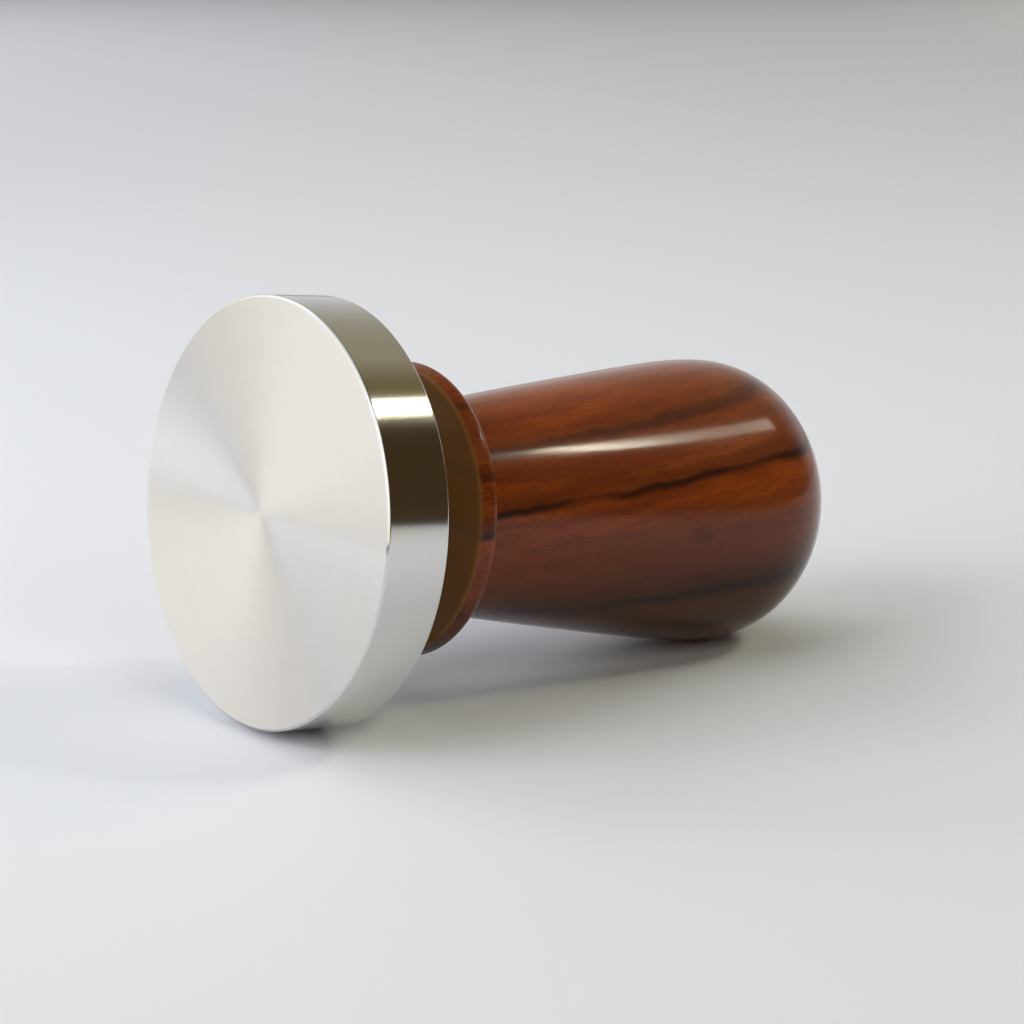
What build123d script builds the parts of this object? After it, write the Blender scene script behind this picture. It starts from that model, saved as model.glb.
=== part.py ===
"""Espresso tamper: a turned steel base screwed to a turned wooden handle.

Millimetres, +Z up. The tamper stands on its tamping face, so the origin is the centre of that face,
and every piece is turned about Z.
"""

from build123d import *
from math import sqrt
import os

# ---------------------------------------------------------------- driving dimensions
base_diameter = 58.0          # suits a 58 mm filter basket
disc_thickness = 9.7          # from the tamping face to the disc's back edge
disc_edge_break = 0.3         # chamfer on both edges of the disc
flange_bottom = 21.5          # underside of the wooden flange
flange_radius = 20.2          # widest circle of the flange
neck_radius = 14.5            # where the cove behind the flange meets the grip
grip_radius = 20.6            # widest circle of the grip
grip_widest = 75.0            # height of that circle
overall_height = 93.5         # tamping face to the top of the dome
grip_outline = [              # radius and height between the neck and the widest circle
    (15.45, 34.0),
    (17.8, 50.0),
    (19.95, 66.0),
]
thread_diameter = 10.0        # M10 stud
thread_pitch = 1.5

# ---------------------------------------------------------------- worked-out dimensions
rim_radius = base_diameter / 2
thread_radius = thread_diameter / 2
thread_depth = 0.613 * thread_pitch
thread_root = thread_radius - thread_depth
groove_mouth = thread_radius + 0.2     # the cutting outline runs this far out
groove_half_width = 0.45 * thread_pitch

washer_thickness = 1.0
washer_radius = 10.0
washer_hole = thread_radius + 0.3
washer_edge_break = 0.2
boss_top = flange_bottom - washer_thickness
boss_radius = 11.0
boss_sweep = 7.5              # concave radius where the disc's back runs up into the boss
back_rise = 1.5               # height that the disc's back gains on its way in to the boss
boss_edge_break = 0.4

base_hole_radius = thread_radius + 0.06
base_hole_bottom = 8.0
drill_tip_rise = 1.5

stud_bottom = 9.0
stud_top = 43.0
stud_end_break = 1.0
socket_across_flats = 5.0
socket_depth = 5.0

insert_radius = 7.0
insert_length = 18.0
insert_flange_radius = 9.0
insert_flange_thickness = 1.2
insert_bore = thread_radius + 0.02
insert_lead_in = 0.5          # chamfer on its upper end
insert_groove_depth = 0.6
insert_groove_width = 1.6
insert_groove_spacing = 4.0
insert_groove_count = 3

glue_gap = 0.05
pilot_radius = thread_radius + 0.25
pilot_top = stud_top + 2.0

flange_widest = flange_bottom + 1.8
flange_edge_radius = 0.45
flange_lower_radius = flange_radius - 0.65
flange_back = flange_bottom + 3.1
flange_back_radius = flange_radius - 1.3
flange_lean = (0.15, 1)       # direction of the outline where the rounded edge begins
neck_height = flange_bottom + 6.5
neck_point = (neck_radius, neck_height)
neck_lean = (0.155, 1)        # direction of the outline there: the grip flares from the cove on
cove_point = (neck_radius + 1.4, neck_height - 1.6)
widest_point = (grip_radius, grip_widest)
dome_height = overall_height - grip_widest
dome_shoulder = (grip_radius * sqrt(0.5), grip_widest + dome_height * sqrt(0.5))

os.makedirs("parts", exist_ok=True)


def at_radius(section, radius):
    """The corners of a turned section at one radius, from the lowest up."""
    slack = 0.01
    corners = section.vertices().filter_by_position(Axis.X, radius - slack, radius + slack)
    return corners.sort_by(Axis.Y)


# ---------------------------------------------------------------- base
# A disc with broken edges. Its back rises a little towards the boss and sweeps up into it.
with BuildPart() as base:
    with BuildSketch(Plane.XZ) as base_section:
        with BuildLine():
            Polyline(
                (0, 0),
                (rim_radius, 0),
                (rim_radius, disc_thickness),
                (boss_radius, disc_thickness + back_rise),
                (boss_radius, boss_top),
                (0, boss_top),
                close=True,
            )
        make_face()
        rim_corners = base_section.vertices().group_by(Axis.X)[-1]
        chamfer(rim_corners, disc_edge_break)
        chamfer(at_radius(base_section, boss_radius)[-1], boss_edge_break)
        fillet(at_radius(base_section, boss_radius)[0], boss_sweep)
    revolve(axis=Axis.Z)
    # Blind screw hole for the stud, open at the top of the boss, with a drill point below.
    with BuildSketch(Plane.XZ):
        with BuildLine():
            Polyline(
                (0, base_hole_bottom - drill_tip_rise),
                (base_hole_radius, base_hole_bottom),
                (base_hole_radius, boss_top),
                (0, boss_top),
                close=True,
            )
        make_face()
    revolve(axis=Axis.Z, mode=Mode.SUBTRACT)
base.part.label = "base"
export_step(base.part, "parts/base.step")


# ---------------------------------------------------------------- washer
with BuildPart() as washer:
    with BuildSketch(Plane.XY.offset(boss_top)):
        Circle(washer_radius)
        Circle(washer_hole, mode=Mode.SUBTRACT)
    extrude(amount=washer_thickness)
    outer_edges = washer.edges().filter_by(GeomType.CIRCLE).group_by(SortBy.RADIUS)[-1]
    chamfer(outer_edges, washer_edge_break)
washer.part.label = "washer"
export_step(washer.part, "parts/washer.step")


# ---------------------------------------------------------------- stud
# The thread is drawn as ring grooves, one for each turn.
groove_count = int((stud_top - stud_bottom - 2 * stud_end_break) / thread_pitch)
first_groove = stud_bottom + stud_end_break + thread_pitch / 2
with BuildPart() as stud:
    with BuildSketch(Plane.XY.offset(stud_bottom)):
        Circle(thread_radius)
    extrude(amount=stud_top - stud_bottom)
    chamfer(stud.edges().filter_by(GeomType.CIRCLE), stud_end_break)
    with BuildSketch(Plane.XZ):
        for turn in range(groove_count):
            height = first_groove + turn * thread_pitch
            with BuildLine():
                Polyline(
                    (thread_root, height),
                    (groove_mouth, height - groove_half_width),
                    (groove_mouth, height + groove_half_width),
                    close=True,
                )
            make_face()
    revolve(axis=Axis.Z, mode=Mode.SUBTRACT)
    with BuildSketch(Plane.XY.offset(stud_bottom)):
        RegularPolygon(socket_across_flats / 2, 6, major_radius=False)
    extrude(amount=socket_depth, mode=Mode.SUBTRACT)
stud.part.label = "stud"
export_step(stud.part, "parts/stud.step")


# ---------------------------------------------------------------- threaded insert
with BuildPart() as handle_insert:
    with BuildSketch(Plane.XY.offset(flange_bottom)):
        Circle(insert_flange_radius)
    extrude(amount=insert_flange_thickness)
    with BuildSketch(Plane.XY.offset(flange_bottom)):
        Circle(insert_radius)
    extrude(amount=insert_length)
    top_edge = handle_insert.edges().filter_by(GeomType.CIRCLE).sort_by(Axis.Z)[-1]
    chamfer(top_edge, insert_lead_in)
    # Grooves that the glue keys into.
    with BuildSketch(Plane.XZ):
        for groove in range(insert_groove_count):
            height = flange_bottom + (groove + 1) * insert_groove_spacing
            with Locations((insert_radius, height)):
                Rectangle(2 * insert_groove_depth, insert_groove_width)
    revolve(axis=Axis.Z, mode=Mode.SUBTRACT)
    with BuildSketch(Plane.XY.offset(flange_bottom)):
        Circle(insert_bore)
    extrude(amount=insert_length, mode=Mode.SUBTRACT)
handle_insert.part.label = "handle_insert"
export_step(handle_insert.part, "parts/handle_insert.step")


# ---------------------------------------------------------------- handle
# One turned outline: flat underside, flange, cove, flaring grip and a domed top.
with BuildPart() as handle:
    with BuildSketch(Plane.XZ) as handle_section:
        with BuildLine():
            Line((0, flange_bottom), (flange_lower_radius, flange_bottom))
            Line((flange_lower_radius, flange_bottom), (flange_radius, flange_widest))
            flange_round = TangentArc(
                (flange_radius, flange_widest),
                (flange_back_radius, flange_back),
                tangent=flange_lean,
            )
            Spline(
                (flange_back_radius, flange_back),
                cove_point,
                neck_point,
                tangents=(flange_round % 1, neck_lean),
            )
            Spline(
                neck_point,
                *grip_outline,
                widest_point,
                tangents=(neck_lean, (0, 1)),
            )
            Spline(
                widest_point,
                dome_shoulder,
                (0, overall_height),
                tangents=((0, 1), (-1, 0)),
            )
            Line((0, overall_height), (0, flange_bottom))
        make_face()
        fillet(at_radius(handle_section, flange_lower_radius)[0], flange_edge_radius)
        # Seat for the insert's flange, the insert's bore, and the pilot hole above it for the stud.
        with Locations((0, flange_bottom)):
            for radius, depth in (
                (insert_flange_radius + glue_gap, insert_flange_thickness + glue_gap),
                (insert_radius + glue_gap, insert_length + glue_gap),
                (pilot_radius, pilot_top - flange_bottom),
            ):
                Rectangle(radius, depth, align=Align.MIN, mode=Mode.SUBTRACT)
    revolve(axis=Axis.Z)
handle.part.label = "handle"
export_step(handle.part, "parts/handle.step")
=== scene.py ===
"""Looks of the espresso tamper: materials, a pale floor, soft light and a camera.

The tamper stands upright in the shared frame. The floor leans and touches the rim and the grip, as if the
tamper lay on its side. The camera and the lights are placed from that floor.
"""

import math

import bmesh
import bpy
from mathutils import Matrix, Vector


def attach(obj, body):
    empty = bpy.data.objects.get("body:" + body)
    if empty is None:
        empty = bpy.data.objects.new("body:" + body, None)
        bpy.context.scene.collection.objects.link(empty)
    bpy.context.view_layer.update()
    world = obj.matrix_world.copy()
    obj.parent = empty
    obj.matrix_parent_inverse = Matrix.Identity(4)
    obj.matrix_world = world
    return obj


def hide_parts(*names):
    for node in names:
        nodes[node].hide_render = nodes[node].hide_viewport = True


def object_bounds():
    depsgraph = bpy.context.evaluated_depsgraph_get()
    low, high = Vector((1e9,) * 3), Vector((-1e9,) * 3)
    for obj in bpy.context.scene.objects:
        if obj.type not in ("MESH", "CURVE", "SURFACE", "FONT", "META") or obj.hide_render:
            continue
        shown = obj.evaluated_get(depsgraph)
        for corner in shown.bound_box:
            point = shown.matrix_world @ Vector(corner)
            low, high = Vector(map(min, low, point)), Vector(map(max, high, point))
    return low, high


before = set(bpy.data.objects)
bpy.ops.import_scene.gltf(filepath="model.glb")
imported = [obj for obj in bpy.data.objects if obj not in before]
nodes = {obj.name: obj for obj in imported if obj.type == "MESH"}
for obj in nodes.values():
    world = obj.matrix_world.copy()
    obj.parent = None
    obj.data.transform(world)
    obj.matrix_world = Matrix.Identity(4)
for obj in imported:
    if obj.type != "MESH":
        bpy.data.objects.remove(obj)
cad_low, cad_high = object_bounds()

MM = 0.001


def outline(node):
    """The different points of a turned CAD node as (radius, height), in metres, to the micrometre."""
    corners = nodes[node].data.vertices
    return sorted({(round(math.hypot(v.co.x, v.co.y), 6), round(v.co.z, 6)) for v in corners})


def display(red, green, blue):
    """Linear colour for display values from 0 to 255."""
    def linear(value):
        share = value / 255
        return share / 12.92 if share <= 0.04045 else ((share + 0.055) / 1.055) ** 2.4

    return (linear(red), linear(green), linear(blue), 1.0)


# ---------------------------------------------------------------- the floor's directions
rim_radius = cad_high.x
rim_top = max(z for r, z in outline("base") if r > 0.999 * rim_radius)
lean = min(
    math.atan2(rim_radius - r, z - rim_top) for r, z in outline("handle") if z > 3 * rim_top
)

axis = Vector((0, 0, 1))
side = Vector((1, -1, 0)).normalized()        # the side of the tamper that faces up from the floor
flank = axis.cross(side)                      # the side that faces the camera
up = math.cos(lean) * side - math.sin(lean) * axis
along = math.cos(lean) * axis + math.sin(lean) * side

camera_turn = math.radians(52.65)             # from the handle's direction on the floor
camera_drop = math.radians(14.15)             # the camera looks down by this much
ahead = Matrix.Rotation(camera_turn, 3, up) @ along
right = ahead.cross(up)
look = math.cos(camera_drop) * ahead - math.sin(camera_drop) * up
lens_up = right.cross(look)
touch = rim_top * axis - rim_radius * side    # where the rim rests on the floor


def studio(to_right, to_ahead, to_up):
    """A point given from the rim's resting point, in metres, along the floor's directions."""
    return touch + to_right * right + to_ahead * ahead + to_up * up


# ---------------------------------------------------------------- camera
face_distance = 0.4262
face_offset = 0.0333                          # the face's centre lies this far left of the view's middle
face_drop = 0.00017                           # and this far below it

camera_data = bpy.data.cameras.new("camera")
camera_data.lens = 112.97
camera_data.sensor_width = 36
camera_data.clip_start = 0.02
camera_data.clip_end = 20
camera = bpy.data.objects.new("camera", camera_data)
camera.location = face_offset * right + face_drop * lens_up - face_distance * look
camera.rotation_euler = Matrix((right, lens_up, -look)).transposed().to_euler()
bpy.context.scene.collection.objects.link(camera)
bpy.context.scene.camera = camera
bpy.context.scene.view_settings.view_transform = "Standard"


# ---------------------------------------------------------------- node trees
class Graph:
    """Short calls for building a node tree."""

    def __init__(self, tree):
        self.tree = tree
        self.tree.nodes.clear()

    def add(self, kind, inputs=None, **settings):
        """A node, its settings, and its inputs by name or number, each a value or another node's output."""
        node = self.tree.nodes.new(kind)
        for name, value in settings.items():
            setattr(node, name, value)
        for name, value in (inputs or {}).items():
            if isinstance(value, bpy.types.NodeSocket):
                self.tree.links.new(value, node.inputs[name])
            else:
                node.inputs[name].default_value = value
        return node

    def math(self, operation, *values, clamp=False):
        inputs = dict(enumerate(values))
        return self.add("ShaderNodeMath", inputs, operation=operation, use_clamp=clamp).outputs[0]

    def dot(self, vector, direction):
        inputs = {0: vector, 1: tuple(direction)}
        return self.add("ShaderNodeVectorMath", inputs, operation="DOT_PRODUCT").outputs["Value"]

    def combine(self, x, y, z):
        return self.add("ShaderNodeCombineXYZ", {0: x, 1: y, 2: z}).outputs[0]

    def step(self, value, start, end, low=0.0, high=1.0):
        """Goes smoothly from low to high as value goes from start to end."""
        inputs = {"Value": value, "From Min": start, "From Max": end, "To Min": low, "To Max": high}
        return self.add("ShaderNodeMapRange", inputs, interpolation_type="SMOOTHSTEP").outputs[0]

    def noise(self, vector, scale, detail=2.0, roughness=0.5, distortion=0.0):
        inputs = {
            "Vector": vector,
            "Scale": scale,
            "Detail": detail,
            "Roughness": roughness,
            "Distortion": distortion,
        }
        return self.add("ShaderNodeTexNoise", inputs).outputs[0]

    def mix(self, factor, a, b, blend="MIX"):
        inputs = {0: factor, 6: a, 7: b}
        return self.add("ShaderNodeMix", inputs, data_type="RGBA", blend_type=blend).outputs[2]

    def bump(self, height, distance, strength=1.0):
        inputs = {"Height": height, "Distance": distance, "Strength": strength}
        return self.add("ShaderNodeBump", inputs).outputs[0]


def new_material(name):
    material = bpy.data.materials.new(name)
    material.use_nodes = True
    return material, Graph(material.node_tree)


def finish_material(graph, inputs):
    """The surface: one Principled shader with these inputs."""
    shader = graph.add("ShaderNodeBsdfPrincipled", inputs)
    graph.add("ShaderNodeOutputMaterial", {"Surface": shader.outputs[0]})


# ---------------------------------------------------------------- turned pieces
FLATS = 240                                   # round each turned piece


def heading(start, end):
    return math.atan2(end[1] - start[1], end[0] - start[0])


def bend(before, corner, after):
    """How far an outline turns at a corner, in radians."""
    turn = heading(corner, after) - heading(before, corner)
    return abs(math.remainder(turn, 2 * math.pi))


def thinned(points, spacing=0.6 * MM, turn=math.radians(6)):
    """The points that an outline needs: one for each stretch of this length or bend of this angle."""
    kept = [points[0]]
    for point, following in zip(points[1:], points[2:]):
        if math.dist(point, kept[-1]) < 0.03 * MM:
            continue
        if math.dist(point, kept[-1]) >= spacing or bend(kept[-1], point, following) >= turn:
            kept.append(point)
    return kept + [points[-1]]


def toward(start, end, distance):
    """The point at this distance from start on the way to end."""
    length = math.dist(start, end)
    if length == 0:
        return start
    return tuple(a + (b - a) * distance / length for a, b in zip(start, end))


def eased(points, size=0.12 * MM, turn=math.radians(25), steps=4):
    """Every sharp corner of the outline rounded, with a point on each side that keeps the flats flat."""
    rounded = [points[0]]
    for before, corner, after in zip(points, points[1:], points[2:]):
        room = 0.4 * min(math.dist(before, corner), math.dist(corner, after))
        if bend(before, corner, after) < turn:
            rounded.append(corner)
            continue
        reach = min(size, room)
        start = toward(corner, before, reach)
        end = toward(corner, after, reach)
        rounded.append(toward(corner, before, 1.2 * reach))
        for step in range(steps + 1):
            share = step / steps
            first = toward(start, corner, share * reach)
            second = toward(corner, end, share * reach)
            rounded.append(toward(first, second, share * math.dist(first, second)))
        rounded.append(toward(corner, after, 1.2 * reach))
    return rounded + [points[-1]]


def lathe(name, points, materials, material_of=lambda radius, height: 0):
    """A solid turned about Z. Its outline goes from the axis, down the outside and back to the axis."""
    vertices = []
    rings = []
    for radius, height in points:
        count = FLATS if radius > 0 else 1
        rings.append([len(vertices) + step % count for step in range(FLATS)])
        for step in range(count):
            angle = 2 * math.pi * step / FLATS
            vertices.append((radius * math.cos(angle), radius * math.sin(angle), height))
    faces = []
    face_materials = []
    for number, (upper, lower) in enumerate(zip(rings, rings[1:])):
        middle = [(a + b) / 2 for a, b in zip(points[number], points[number + 1])]
        for step in range(FLATS):
            following = (step + 1) % FLATS
            corners = (upper[step], lower[step], lower[following], upper[following])
            faces.append(tuple(dict.fromkeys(corners)))
            face_materials.append(material_of(*middle))
    return solid(name, vertices, faces, materials, face_materials)


def solid(name, vertices, faces, materials, face_materials=None, sharp_angle=math.radians(30)):
    """A smooth-shaded object of these faces, sharp only where they turn by more than the angle."""
    mesh = bpy.data.meshes.new(name)
    mesh.from_pydata(vertices, [], faces)
    for material in materials:
        mesh.materials.append(material)
    if face_materials:
        mesh.polygons.foreach_set("material_index", face_materials)
    join = bmesh.new()
    join.from_mesh(mesh)
    bmesh.ops.remove_doubles(join, verts=join.verts, dist=0.0001 * MM)
    join.to_mesh(mesh)
    join.free()
    mesh.polygons.foreach_set("use_smooth", [True] * len(mesh.polygons))
    mesh.set_sharp_from_angle(angle=sharp_angle)
    piece = bpy.data.objects.new(name, mesh)
    bpy.context.scene.collection.objects.link(piece)
    return piece


def stands_for(piece, node, body):
    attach(piece, body)
    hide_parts(node)


def turn_base(face, rim, back):
    """The disc with its boss: fine-turned face, polished rim, turned back."""
    face_margin = 0.02 * MM                   # the face is what lies lower than this
    rim_margin = 0.4 * MM                     # the rim is what lies within this of the widest circle
    points = outline("base")
    top = max(z for r, z in points)
    hole = min(r for r, z in points if z == top)
    bore = sorted((p for p in points if p[0] <= hole and p[1] > 0), key=lambda p: (p[1], p[0]))
    outside = sorted((p for p in points if p[0] > hole and p[1] > 0), key=lambda p: (-p[1], p[0]))
    face_edge = max(p for p in points if p[1] == 0)
    rings = [(face_edge[0] * share, 0.0) for share in (0.75, 0.5, 0.25, 0.0)]
    path = eased(thinned(bore) + thinned(outside) + [face_edge] + rings)

    def part_of(radius, height):
        """The number of the surface there: face, rim or back."""
        if height < face_margin:
            return 0
        return 1 if radius > rim_radius - rim_margin else 2

    return lathe("base_turned", path, [face, rim, back], part_of)


def turn_handle(wood):
    """The handle: its seat and pilot hole inside, its flange, cove, grip and dome outside."""
    pilot_margin = 2 * MM                     # the pilot hole ends this far above the stud
    flange_room = 4 * MM                      # the flange is in the handle's lowest 4 mm
    neck_share = 0.2                          # the neck is in its lowest fifth
    points = outline("handle")
    bottom = min(z for r, z in points)
    seat = min(r for r, z in points if z == bottom)
    hole_top = max(v.co.z for v in nodes["stud"].data.vertices) + pilot_margin
    inside = [p for p in points if p[0] <= seat and p[1] <= hole_top + 0.01 * MM]
    outside = [p for p in points if p not in inside]
    flange = max((p for p in outside if p[1] < bottom + flange_room))
    neck_limit = bottom + neck_share * (cad_high.z - bottom)
    neck = min((p for p in outside if flange[1] < p[1] < neck_limit))
    grip = max((p for p in outside if p[1] > neck[1]))
    dome = sorted(p for p in outside if p[1] >= grip[1])
    swell = sorted((p for p in outside if neck[1] <= p[1] < grip[1]), reverse=True)
    cove = sorted(p for p in outside if flange[1] <= p[1] < neck[1])
    edge = sorted((p for p in outside if p[1] < flange[1]), reverse=True)
    path = thinned([(0.0, cad_high.z)] + dome[1:] + swell + cove + edge)
    path += sorted(inside, key=lambda p: (p[1], -p[0]))
    path.append((0.0, hole_top))
    return lathe("handle_turned", path, [wood])


STUD_FLATS = 96                               # round the stud


def around_stud(radius_at, height):
    """A ring of points whose radius may change with the angle."""
    ring = []
    for step in range(STUD_FLATS):
        angle = 2 * math.pi * step / STUD_FLATS
        radius = radius_at(angle)
        ring.append((radius * math.cos(angle), radius * math.sin(angle), height))
    return ring


def thread(low, high, end_radius, crest, root):
    """The points and faces of the stud's helical thread, cut off by the chamfers at its ends."""
    pitch = 1.5 * MM
    # One turn of the thread's outline: share of the pitch, and radius.
    profile = ((0.0, crest), (0.125, crest), (0.4375, root), (0.6875, root))
    turns = math.ceil((high - low) / pitch) + 1
    rows = [(turn + phase, radius) for turn in range(-1, turns) for phase, radius in profile]
    vertices = []
    faces = []
    for step in range(STUD_FLATS):
        share = step / STUD_FLATS
        angle = 2 * math.pi * share
        for place, radius in rows:
            height = min(max(low + pitch * (place + share), low), high)
            chamfered = end_radius + min(height - low, high - height)
            radius = min(radius, chamfered)
            vertices.append((radius * math.cos(angle), radius * math.sin(angle), height))
        # After one turn round the stud, a row meets the one that is a turn of thread further on.
        last = step + 1 == STUD_FLATS
        across = 0 if last else step + 1
        shift = len(profile) if last else 0
        for row in range(len(rows) - 1 - shift):
            here = step * len(rows) + row
            there = across * len(rows) + row + shift
            faces.append((here, there, there + 1, here + 1))
    return vertices, faces


def cut_stud(steel):
    """The stud with its real helical thread, chamfered ends and hexagon socket."""
    points = outline("stud")
    low = min(z for r, z in points)
    high = max(z for r, z in points)
    crest = max(r for r, z in points)
    end_radius = max(r for r, z in points if z == high)
    root = min(r for r, z in points if r > end_radius)
    socket_corner = min(r for r, z in points if z == low)
    socket_top = min(z for r, z in points if z > low and r <= socket_corner)

    def hexagon(angle):
        """The socket's radius in this direction."""
        flat = socket_corner * math.cos(math.pi / 6)
        return flat / math.cos(math.remainder(angle - math.pi / 6, math.pi / 3))

    vertices, faces = thread(low, high, end_radius, crest, root)
    lower_end = (
        (lambda angle: end_radius, low),
        (hexagon, low),
        (hexagon, socket_top),
        (lambda angle: 0.0, socket_top),
    )
    first = len(vertices)
    for radius_at, height in lower_end:
        vertices += around_stud(radius_at, height)
    for ring in range(len(lower_end) - 1):
        outer = first + ring * STUD_FLATS
        inner = outer + STUD_FLATS
        for step in range(STUD_FLATS):
            following = (step + 1) % STUD_FLATS
            faces.append((outer + step, inner + step, inner + following, outer + following))
    top = len(vertices)
    vertices += around_stud(lambda angle: end_radius, high)
    vertices.append((0.0, 0.0, high))
    for step in range(STUD_FLATS):
        faces.append((top + step, top + (step + 1) % STUD_FLATS, top + STUD_FLATS))
    return solid("stud_threaded", vertices, faces, [steel])


# ---------------------------------------------------------------- stage
def make_floor():
    reach = 4.0                               # metres each way from where the rim rests
    corners = [studio(x * reach, y * reach, 0) for x, y in ((-1, -1), (1, -1), (1, 1), (-1, 1))]
    mesh = bpy.data.meshes.new("floor")
    mesh.from_pydata([tuple(c) for c in corners], [], [(0, 1, 2, 3)])
    floor = bpy.data.objects.new("floor", mesh)
    bpy.context.scene.collection.objects.link(floor)
    material, graph = new_material("pale_floor")
    paper = graph.add(
        "ShaderNodeBsdfDiffuse", {"Color": (0.80, 0.815, 0.84, 1.0), "Roughness": 0.3}
    )
    clear = graph.add("ShaderNodeBsdfTransparent")
    # Clear from behind and to shadow rays, so that the far side of the tamper is seen and lit through it.
    behind = graph.add("ShaderNodeNewGeometry").outputs["Backfacing"]
    shadow = graph.add("ShaderNodeLightPath").outputs["Is Shadow Ray"]
    share = graph.math("MAXIMUM", behind, shadow)
    surface = graph.add("ShaderNodeMixShader", {0: share, 1: paper.outputs[0], 2: clear.outputs[0]})
    graph.add("ShaderNodeOutputMaterial", {"Surface": surface.outputs[0]})
    mesh.materials.append(material)


make_floor()


ROOM_FILL = 0.06                              # the room's share in the light; reflections show all of it


def make_world():
    """A room in soft daylight: bright on the left, grey ahead, dark and warm on the right and behind."""
    world = bpy.data.worlds.new("room")
    world.use_nodes = True
    graph = Graph(world.node_tree)
    direction = graph.add("ShaderNodeTexCoord").outputs["Generated"]
    # Heights and azimuths are in degrees; the azimuth, called turn, grows to the right from straight ahead.
    height = graph.math("ARCSINE", graph.dot(direction, up))
    height = graph.math("MULTIPLY", height, 180 / math.pi)
    azimuth = graph.math("ARCTAN2", graph.dot(direction, right), graph.dot(direction, ahead))
    turn = graph.math("MULTIPLY", azimuth, 180 / math.pi)
    turn = graph.math("WRAP", turn, 200.0, -160.0)

    def between(first, last, blur):
        """1 from the first azimuth to the last, and 0 beyond them."""
        rising = graph.step(turn, first - blur, first + blur)
        return graph.math("MULTIPLY", rising, graph.step(turn, last + blur, last - blur))

    ahead_wall = graph.mix(graph.step(height, 0, 45), (0.66, 0.67, 0.69, 1), (0.34, 0.31, 0.22, 1))
    dark_room = graph.mix(graph.step(height, 34, 46), (0.055, 0.034, 0.015, 1), (0.18, 0.14, 0.06, 1))
    colour = graph.mix(between(52, 185, 14), ahead_wall, dark_room)
    window_wall = graph.mix(graph.step(height, 4, 18), (1.25, 1.15, 1.00, 1), (1.34, 1.38, 1.42, 1))
    colour = graph.mix(graph.math("SUBTRACT", 1.0, between(-25, 172, 22)), colour, window_wall)
    low_wall = graph.math("MULTIPLY", between(-76, -25, 8), graph.step(height, 16, 8))
    colour = graph.mix(low_wall, colour, (0.95, 0.84, 0.70, 1))
    ceiling = graph.mix(graph.step(turn, -40, -5), (0.80, 0.80, 0.80, 1), (0.10, 0.09, 0.07, 1))
    colour = graph.mix(graph.step(height, 47, 62), colour, ceiling)
    ray = graph.add("ShaderNodeLightPath").outputs
    colour = graph.mix(ray["Is Camera Ray"], colour, (0.62, 0.64, 0.65, 1))
    strength = graph.math("MAXIMUM", ray["Is Camera Ray"], ray["Is Glossy Ray"])
    strength = graph.math("MAXIMUM", strength, ROOM_FILL)
    background = graph.add("ShaderNodeBackground", {"Color": colour, "Strength": strength})
    graph.add("ShaderNodeOutputWorld", {"Surface": background.outputs[0]})
    world.cycles.sampling_method = "NONE"
    bpy.context.scene.world = world


make_world()


# ---------------------------------------------------------------- lights
grip_centre = 0.055 * axis


def from_azimuth(azimuth, elevation, distance):
    """A point this far from the grip. Azimuth is in degrees from straight ahead, growing to the right."""
    turn = math.radians(azimuth)
    rise = math.radians(elevation)
    level = math.cos(turn) * ahead + math.sin(turn) * right
    return grip_centre + distance * (math.cos(rise) * level + math.sin(rise) * up)


def add_light(name, place, width, height, power, colour=(1, 1, 1), roll=0.0, mirrored=False):
    """A soft rectangle of light that faces the grip. Only a mirrored one shows in reflections."""
    data = bpy.data.lights.new(name, "AREA")
    data.shape = "RECTANGLE"
    data.size = width
    data.size_y = height
    data.energy = power
    data.color = colour
    light = bpy.data.objects.new(name, data)
    back = (place - grip_centre).normalized()
    level = Matrix.Rotation(math.radians(roll), 3, back) @ up.cross(back).normalized()
    light.matrix_world = Matrix.Translation(place) @ Matrix(
        (level, back.cross(level), back)
    ).transposed().to_4x4()
    light.visible_camera = False
    light.visible_glossy = mirrored
    bpy.context.scene.collection.objects.link(light)
    return data


def add_strip():
    """A long narrow warm lamp high on the right, brightest at one end."""
    length = 0.475
    width = 0.113
    watts = 7.0
    colour = (1.0, 0.99, 0.77)
    place = from_azimuth(77.5, 43.05, 1.0)
    data = add_light("strip", place, length, width, watts, colour, roll=-31, mirrored=True)
    lengthwise = bpy.data.objects["strip"].matrix_world.to_3x3() @ Vector((1, 0, 0))
    data.use_nodes = True
    graph = Graph(data.node_tree)
    point = graph.add("ShaderNodeNewGeometry").outputs["Position"]
    from_middle = graph.math("SUBTRACT", graph.dot(point, lengthwise), place.dot(lengthwise))
    strength = graph.step(from_middle, -0.5 * length, -0.36 * length, 0.95, 0.15)
    bright_end = graph.step(from_middle, -0.5 * length, -0.47 * length, 5.5, 1.0)
    strength = graph.math("MULTIPLY", strength, bright_end)
    emission = graph.add("ShaderNodeEmission", {"Strength": strength})
    graph.add("ShaderNodeOutputLight", {"Surface": emission.outputs[0]})


add_strip()

COOL = (0.975, 0.99, 1.045)
WARM = (1.0, 0.95, 0.78)
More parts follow.
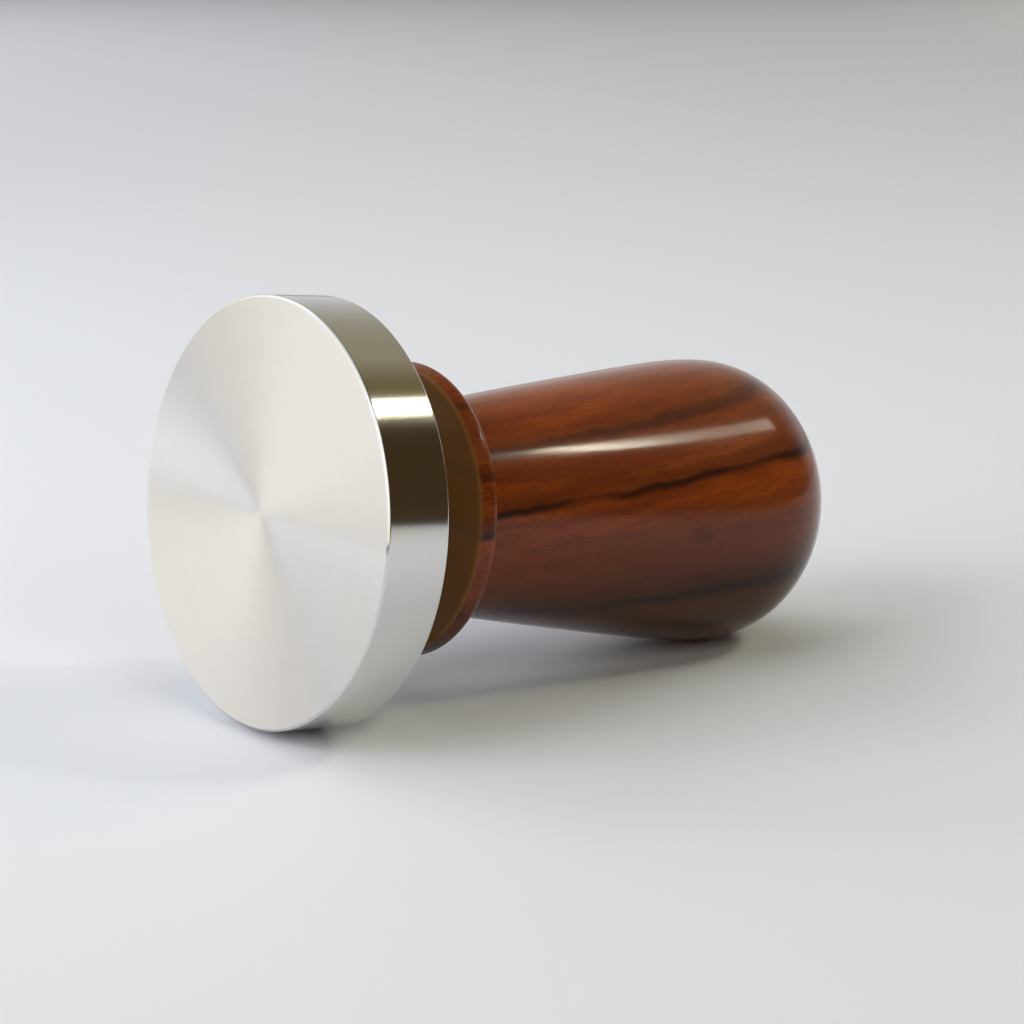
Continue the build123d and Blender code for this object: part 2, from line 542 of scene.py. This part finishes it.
# Azimuth and elevation in degrees; distance, width and height in metres; watts; colour.
SOFT_LIGHTS = {
    "window": (-60, 40, 1.1, 0.6, 0.6, 2.35, COOL),
    "window_ahead": (-30, 25, 1.1, 0.6, 0.6, 2.6, COOL),
    "window_near": (-120, 30, 0.7, 0.5, 0.5, 2.9, COOL),
    "low_left": (-75, 15, 0.5, 0.25, 0.25, 0.6, COOL),
    "low_right": (30, 8, 1.1, 0.6, 0.25, 0.8, WARM),
    "strip_glow": (78, 43, 1.0, 0.5, 0.2, 0.9, WARM),
    "fill_behind": (150, 35, 1.1, 0.5, 0.5, 1.5, WARM),
    "overhead": (0, 85, 0.5, 0.4, 0.4, 0.45, COOL),
    "under_floor": (10, -32, 0.6, 0.4, 0.4, 1.2, COOL),
}
for name, (azimuth, elevation, distance, width, height, power, colour) in SOFT_LIGHTS.items():
    add_light(name, from_azimuth(azimuth, elevation, distance), width, height, power, colour)


# ---------------------------------------------------------------- steel
def radius_of(graph, place):
    """The distance from the axis, from an object's own coordinates."""
    flat = graph.add("ShaderNodeVectorMath", {0: place, 1: (1.0, 1.0, 0.0)}, operation="MULTIPLY")
    return graph.add("ShaderNodeVectorMath", {0: flat.outputs[0]}, operation="LENGTH").outputs["Value"]


def make_steel(name, dark, light, smoothest, spread, tool_marks, groove, anisotropy):
    """Turned steel between two tints, its roughness spread upwards from the smoothest.

    The tool marks are rings, this many to a millimetre, and grooves this deep.
    """
    material, graph = new_material(name)
    place = graph.add("ShaderNodeTexCoord").outputs["Object"]
    height = graph.dot(place, axis)
    radius = radius_of(graph, place)
    section = graph.combine(radius, 0.0, height)
    fine = graph.noise(section, 1000 * tool_marks, 3, 0.6)
    broad = graph.noise(section, 300, 2)
    smudge = graph.noise(place, 90, 3, 0.6)
    roughness = graph.math("MULTIPLY_ADD", fine, spread, smoothest)
    roughness = graph.math("MULTIPLY_ADD", smudge, 0.25 * spread, roughness)
    tangent = graph.add("ShaderNodeTangent", direction_type="RADIAL", axis="Z").outputs[0]
    finish_material(graph, {
        "Base Color": graph.mix(broad, dark, light),
        "Metallic": 1.0,
        "Roughness": roughness,
        "Anisotropic": anisotropy,
        "Anisotropic Rotation": 0.25,
        "Tangent": tangent,
        "Normal": graph.bump(fine, groove, 0.3),
    })
    return material


def make_brass():
    """Machined brass with a little tarnish."""
    material, graph = new_material("machined_brass")
    place = graph.add("ShaderNodeTexCoord").outputs["Object"]
    tarnish = graph.noise(place, 700, 4, 0.6)
    section = graph.combine(radius_of(graph, place), 0.0, graph.dot(place, axis))
    fine = graph.noise(section, 5000, 2)
    bright = (0.80, 0.62, 0.30, 1)
    dull = (0.55, 0.38, 0.16, 1)
    finish_material(graph, {
        "Base Color": graph.mix(graph.step(tarnish, 0.4, 0.7), bright, dull),
        "Metallic": 1.0,
        "Roughness": graph.math("MULTIPLY_ADD", tarnish, 0.2, 0.2),
        "Normal": graph.bump(fine, 0.02 * MM, 0.3),
    })
    return material


# ---------------------------------------------------------------- wood
# Dark streaks in the wood: where each lies across the grain, its half width and how far its shade spreads,
# in mm, and how dark it is.
STREAKS = (
    (-0.9, 1.1, 4.2, 0.95),
    (6.4, 1.1, 2.6, 0.65),
    (-18.3, 2.2, 4.5, 0.95),
    (14.5, 0.8, 3.0, 0.60),
    (-26.0, 1.2, 4.0, 0.80),
)
# Small knots: rise, depth and height in mm, radius, and how dark.
KNOTS = ((-0.7, 19.3, 61.0, 1.2, 0.35), (-5.8, 14.3, 40.0, 0.7, 0.6), (-10.5, 15.2, 22.4, 1.5, 0.85))


def make_wood():
    """Red-brown wood with dark streaks that lean away from the axis, under a clear gloss varnish."""
    material, graph = new_material("varnished_wood")
    place = graph.add("ShaderNodeTexCoord").outputs["Object"]
    in_mm = graph.add("ShaderNodeVectorMath", {0: place, "Scale": 1000.0}, operation="SCALE").outputs[0]
    rise = graph.dot(in_mm, side)
    depth = graph.dot(in_mm, flank)
    height = graph.dot(in_mm, axis)

    def grain(across, through, lengthwise, detail=2.0, roughness=0.5):
        """Noise drawn out along the grain. The first three say how often it changes in a millimetre."""
        vector = graph.combine(
            graph.math("MULTIPLY", layer, across),
            graph.math("MULTIPLY", depth, through),
            graph.math("MULTIPLY", height, lengthwise),
        )
        return graph.noise(vector, 1.0, detail, roughness)

    # How far a point lies across the grain, in mm: the grain leans away from the axis and wanders a little.
    measured_height = 30.0                    # a layer is measured at this height and depth
    measured_depth = 16.0
    grain_lean = 0.181                        # it rises this far in a millimetre up the handle
    grain_tilt = 0.08                         # and sinks this far in a millimetre towards the front
    zero_layer = 2.6                          # layers are counted from this rise
    layer = graph.math("MULTIPLY_ADD", graph.math("SUBTRACT", measured_height, height), grain_lean, rise)
    layer = graph.math("SUBTRACT", layer, zero_layer)
    toward_front = graph.math("SUBTRACT", depth, measured_depth)
    layer = graph.math("MULTIPLY_ADD", toward_front, grain_tilt, layer)
    wander = graph.math("SUBTRACT", grain(0.05, 0.05, 0.07, 1.0), 0.5)
    layer = graph.math("MULTIPLY_ADD", wander, 2.4, layer)
    ripple = graph.math("SUBTRACT", grain(0.25, 0.25, 0.3, 2.0), 0.5)
    layer = graph.math("MULTIPLY_ADD", ripple, 0.8, layer)

    # Brown bands, then painted shade towards the floor: duller on the lower half, and darker again below
    # that.
    bands = grain(0.42, 0.12, 0.03, 3.0, 0.6)
    colour = graph.mix(graph.step(bands, 0.32, 0.68), display(115, 46, 11), display(146, 67, 15))
    # Painted shade: the lower half, which faces the floor, turns a duller, greyer brown, broken up by the
    # bands.
    lower_half_painted_shade = graph.step(graph.math("MULTIPLY_ADD", bands, 6.0, layer), 0.0, -6.0)
    colour = graph.mix(graph.math("MULTIPLY", lower_half_painted_shade, 0.6), colour, display(104, 54, 30))
    # Painted shade: a darker brown lower still, on the side that faces the floor.
    floor_side_painted_shade = graph.step(layer, -8.0, -19.0)
    colour = graph.mix(graph.math("MULTIPLY", floor_side_painted_shade, 0.8), colour, display(60, 30, 18))
    fibre = grain(3.2, 3.2, 0.16, 3.0, 0.65)
    colour = graph.mix(graph.step(fibre, 0.42, 0.74, 0.0, 0.35), colour, display(88, 36, 14))
    for offset, half_width, spread, strength in STREAKS:
        above = graph.math("SUBTRACT", layer, offset)
        line = graph.step(graph.math("ABSOLUTE", above), half_width, 0.1)
        shade = graph.step(above, spread, 0.0, 0.0, 0.5)
        shade = graph.math("MULTIPLY", shade, graph.step(above, -0.4, 0.2))
        broken = graph.step(grain(0.3, 0.1, 0.05), 0.34, 0.54, 0.5, strength)
        streak = graph.math("MULTIPLY", graph.math("MAXIMUM", line, shade), broken)
        colour = graph.mix(streak, colour, display(42, 19, 11))
    for knot_rise, knot_depth, knot_height, knot_radius, strength in KNOTS:
        centre = knot_rise * side + knot_depth * flank + knot_height * axis
        offset = graph.add("ShaderNodeVectorMath", {0: in_mm, 1: tuple(centre)}, operation="SUBTRACT")
        drawn_out = {0: offset.outputs[0], 1: (1.0, 1.0, 0.6)}
        away = graph.add("ShaderNodeVectorMath", drawn_out, operation="MULTIPLY")
        away = graph.add("ShaderNodeVectorMath", {0: away.outputs[0]}, operation="LENGTH").outputs["Value"]
        knot = graph.step(away, 1.6 * knot_radius, 0.2 * knot_radius, 0.0, strength)
        colour = graph.mix(knot, colour, display(38, 18, 12))
    pores = graph.step(grain(7.0, 7.0, 0.45, 1.0), 0.63, 0.72)
    colour = graph.mix(graph.math("MULTIPLY", pores, 0.5), colour, display(50, 20, 10))
    # Short dark ticks round the flange, where the grain ends, and painted light on its underside.
    flange_side = graph.math("MULTIPLY", graph.step(height, 22.0, 22.6), graph.step(height, 27.5, 26.0))
    ticks = graph.step(grain(2.6, 2.6, 0.1, 2.0, 0.6), 0.50, 0.66)
    ticks = graph.math("MULTIPLY", ticks, flange_side)
    colour = graph.mix(graph.math("MULTIPLY", ticks, 0.55), colour, display(70, 26, 10))
    # Painted light and reflection: the flange's underside is painted a paler olive, as if lit by the steel
    # back and reflecting it; it also gets less varnish.
    underside = graph.step(height, 22.2, 21.7)
    colour = graph.mix(graph.math("MULTIPLY", underside, 0.8), colour, display(124, 86, 42))
    rough = graph.math("MULTIPLY_ADD", fibre, 0.2, 0.35)
    finish_material(graph, {
        "Base Color": colour,
        "Roughness": rough,
        "Specular IOR Level": 0.1,
        "Coat Weight": graph.math("MULTIPLY_ADD", underside, -0.8, 1.0),
        "Coat Roughness": 0.13,
        "Coat IOR": 1.31,
        "Normal": graph.bump(graph.math("MULTIPLY_ADD", pores, -1.0, fibre), 0.02 * MM, 0.25),
    })
    return material


# ---------------------------------------------------------------- pieces
def paint(node, material):
    """The material on a piece that keeps its CAD mesh."""
    for slot in nodes[node].material_slots:
        slot.material = material


face_steel = make_steel(
    "fine_turned_steel",
    dark=(0.82, 0.795, 0.755, 1),
    light=(0.86, 0.835, 0.795, 1),
    smoothest=0.26,
    spread=0.08,
    tool_marks=5,
    groove=0.003 * MM,
    anisotropy=1.0,
)
rim_steel = make_steel(
    "polished_rim_steel",
    dark=(0.70, 0.69, 0.665, 1),
    light=(0.73, 0.72, 0.695, 1),
    smoothest=0.09,
    spread=0.05,
    tool_marks=6,
    groove=0.002 * MM,
    anisotropy=0.7,
)
back_steel = make_steel(
    "turned_back_steel",
    dark=(0.68, 0.665, 0.64, 1),
    light=(0.74, 0.725, 0.70, 1),
    smoothest=0.22,
    spread=0.12,
    tool_marks=4,
    groove=0.01 * MM,
    anisotropy=0.8,
)
stud_steel = make_steel(
    "thread_steel",
    dark=(0.42, 0.42, 0.41, 1),
    light=(0.55, 0.55, 0.54, 1),
    smoothest=0.28,
    spread=0.15,
    tool_marks=3,
    groove=0.01 * MM,
    anisotropy=0.3,
)
washer_steel = make_steel(
    "ground_washer_steel",
    dark=(0.52, 0.51, 0.49, 1),
    light=(0.64, 0.63, 0.61, 1),
    smoothest=0.30,
    spread=0.15,
    tool_marks=3,
    groove=0.01 * MM,
    anisotropy=0.5,
)

stands_for(turn_base(face_steel, rim_steel, back_steel), "base", "base")
stands_for(turn_handle(make_wood()), "handle", "handle")
stands_for(cut_stud(stud_steel), "stud", "handle")
paint("washer", washer_steel)
paint("handle_insert", make_brass())
